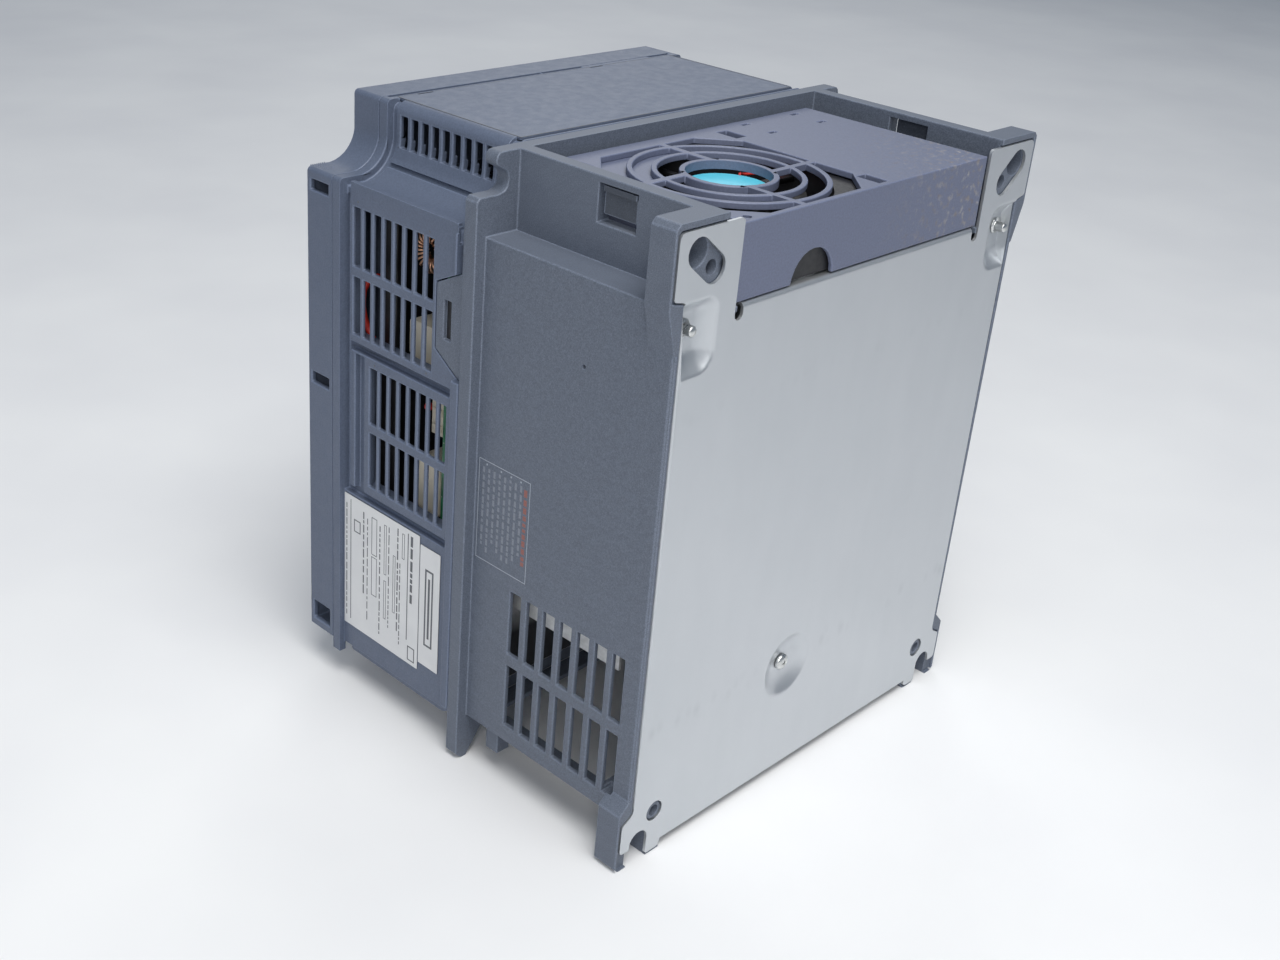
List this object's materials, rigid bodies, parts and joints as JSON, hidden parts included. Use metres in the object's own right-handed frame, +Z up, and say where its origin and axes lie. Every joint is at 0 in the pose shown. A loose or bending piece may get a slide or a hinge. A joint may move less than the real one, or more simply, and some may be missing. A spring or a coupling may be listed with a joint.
{
  "type": "variable frequency drive",
  "caption": "Box-shaped motor drive with vented plastic shells, a removable front cover with keypad, a lift-out fan unit, a steel back plate and power electronics inside.",
  "frame": {"origin": "on the ground under the middle of the drive", "axes": "+Z up along the height, -Y is the front with the keypad, +Y is the steel back plate, X runs across the width"},
  "size_m": [0.22, 0.195, 0.26],
  "materials": {
    "housing": "fine-grained moulded blue-grey plastic",
    "rear_case": "speckled glass-filled blue-grey plastic",
    "fan_cover": "smooth blue-grey plastic, slightly dusty",
    "steel_plate": "satin galvanised sheet steel",
    "zinc": "bright zinc-plated steel",
    "aluminium": "die-cast and sawn aluminium",
    "black_plastic": "black moulded plastic",
    "keypad_shell": "dark blue-grey keypad shell",
    "display": "smoked display window",
    "key_grey": "light grey key",
    "key_green": "green key",
    "key_red": "red key",
    "label": "white film label, left blank of words",
    "cyan_label": "cyan printed hub label",
    "board": "green glass-epoxy circuit board",
    "cream": "natural white plastic",
    "capacitor": "dark sleeved capacitor can",
    "tape": "yellow winding tape",
    "rubber": "black rubber",
    "red_wire": "red insulated wire",
    "copper": "tinned copper bar",
    "blue_relay": "blue moulded plastic",
    "lamp": "red lamp lens"
  },
  "bodies": {
    "cover": {"front_cover": "housing", "front_cover_screw": "zinc"},
    "keypad": {"keypad_body": "keypad_shell", "keypad_window": "display"},
    "key_program": {"key_program": "key_grey"},
    "key_up": {"key_up": "key_grey"},
    "key_run": {"key_run": "key_green"},
    "key_enter": {"key_enter": "key_grey"},
    "key_shift": {"key_shift": "key_grey"},
    "key_down": {"key_down": "key_grey"},
    "key_stop": {"key_stop": "key_red"},
    "housing": {"front_housing": "housing", "top_panel": "housing", "nameplate": "label", "side_sticker": "label", "rear_case": "rear_case", "back_plate": "steel_plate", "plate_screw_right": "zinc", "plate_screw_left": "zinc", "plate_screw_low": "zinc", "fan_socket": "cream", "heat_sink": "aluminium", "igbt_module": "black_plastic", "rectifier_module": "black_plastic", "power_board": "board", "dc_capacitor_1": "capacitor", "dc_capacitor_2": "capacitor", "dc_capacitor_3": "capacitor", "dc_capacitor_4": "capacitor", "transformer": "tape", "current_sensor_1": "cream", "current_sensor_2": "cream", "bus_bar_positive": "copper", "bus_bar_negative": "copper", "film_capacitor": "cream", "gate_connector": "cream", "main_terminal_block": "black_plastic", "ground_bar": "zinc", "board_tray": "black_plastic", "control_board": "board", "control_terminals": "blue_relay", "relay": "blue_relay", "keypad_socket": "cream", "keypad_holder": "cream", "charge_lamp": "lamp", "switch_housing": "black_plastic", "control_lead": "red_wire"},
    "guide": {"wiring_guide": "housing", "grommet_1": "rubber", "grommet_2": "rubber", "grommet_3": "rubber"},
    "cover_latch_right": {"cover_latch_right": "rear_case"},
    "cover_latch_left": {"cover_latch_left": "rear_case"},
    "fan_unit": {"fan_cover": "fan_cover", "fan_frame": "black_plastic", "fan_hub_label": "cyan_label", "fan_lead": "red_wire", "fan_plug": "cream"},
    "rotor": {"fan_rotor": "black_plastic"},
    "switch_lever": {"switch_lever": "key_grey"}
  },
  "joints": [
    {"name": "cover_pull", "type": "slide", "parent": "housing", "child": "cover", "axis": [0, -1, 0], "range_m": [0, 0.03]},
    {"name": "keypad_pull", "type": "slide", "parent": "housing", "child": "keypad", "axis": [0, -1, 0], "range_m": [0, 0.02]},
    {"name": "key_program_press", "type": "slide", "parent": "keypad", "child": "key_program", "axis": [0, 1, 0], "range_m": [0, 0.0008], "stiffness_N_per_m": 400, "springref_m": -0.0005},
    {"name": "key_up_press", "type": "slide", "parent": "keypad", "child": "key_up", "axis": [0, 1, 0], "range_m": [0, 0.0008], "stiffness_N_per_m": 400, "springref_m": -0.0005},
    {"name": "key_run_press", "type": "slide", "parent": "keypad", "child": "key_run", "axis": [0, 1, 0], "range_m": [0, 0.0008], "stiffness_N_per_m": 400, "springref_m": -0.0005},
    {"name": "key_enter_press", "type": "slide", "parent": "keypad", "child": "key_enter", "axis": [0, 1, 0], "range_m": [0, 0.0008], "stiffness_N_per_m": 400, "springref_m": -0.0005},
    {"name": "key_shift_press", "type": "slide", "parent": "keypad", "child": "key_shift", "axis": [0, 1, 0], "range_m": [0, 0.0008], "stiffness_N_per_m": 400, "springref_m": -0.0005},
    {"name": "key_down_press", "type": "slide", "parent": "keypad", "child": "key_down", "axis": [0, 1, 0], "range_m": [0, 0.0008], "stiffness_N_per_m": 400, "springref_m": -0.0005},
    {"name": "key_stop_press", "type": "slide", "parent": "keypad", "child": "key_stop", "axis": [0, 1, 0], "range_m": [0, 0.0008], "stiffness_N_per_m": 400, "springref_m": -0.0005},
    {"name": "guide_pull", "type": "slide", "parent": "housing", "child": "guide", "axis": [0, -1, 0], "range_m": [0, 0.07]},
    {"name": "fan_unit_lift", "type": "slide", "parent": "housing", "child": "fan_unit", "axis": [0, 0, 1], "range_m": [0, 0.06]},
    {"name": "fan_spin", "type": "hinge", "parent": "fan_unit", "child": "rotor", "pos_m": [0.0334, 0.055, 0.235], "axis": [0, 0, 1], "continuous": true},
    {"name": "latch_right_press", "type": "hinge", "parent": "housing", "child": "cover_latch_right", "pos_m": [0.0877, 0.0536, 0.2466], "axis": [0, -1, 0], "range_deg": [0, 8], "stiffness_Nm_per_rad": 0.1, "springref_deg": -1.15},
    {"name": "latch_left_press", "type": "hinge", "parent": "housing", "child": "cover_latch_left", "pos_m": [-0.0877, 0.0536, 0.2466], "axis": [0, 1, 0], "range_deg": [0, 8], "stiffness_Nm_per_rad": 0.1, "springref_deg": -1.15},
    {"name": "switch_slide", "type": "slide", "parent": "housing", "child": "switch_lever", "axis": [1, 0, 0], "range_m": [0, 0.0045]}
  ]
}
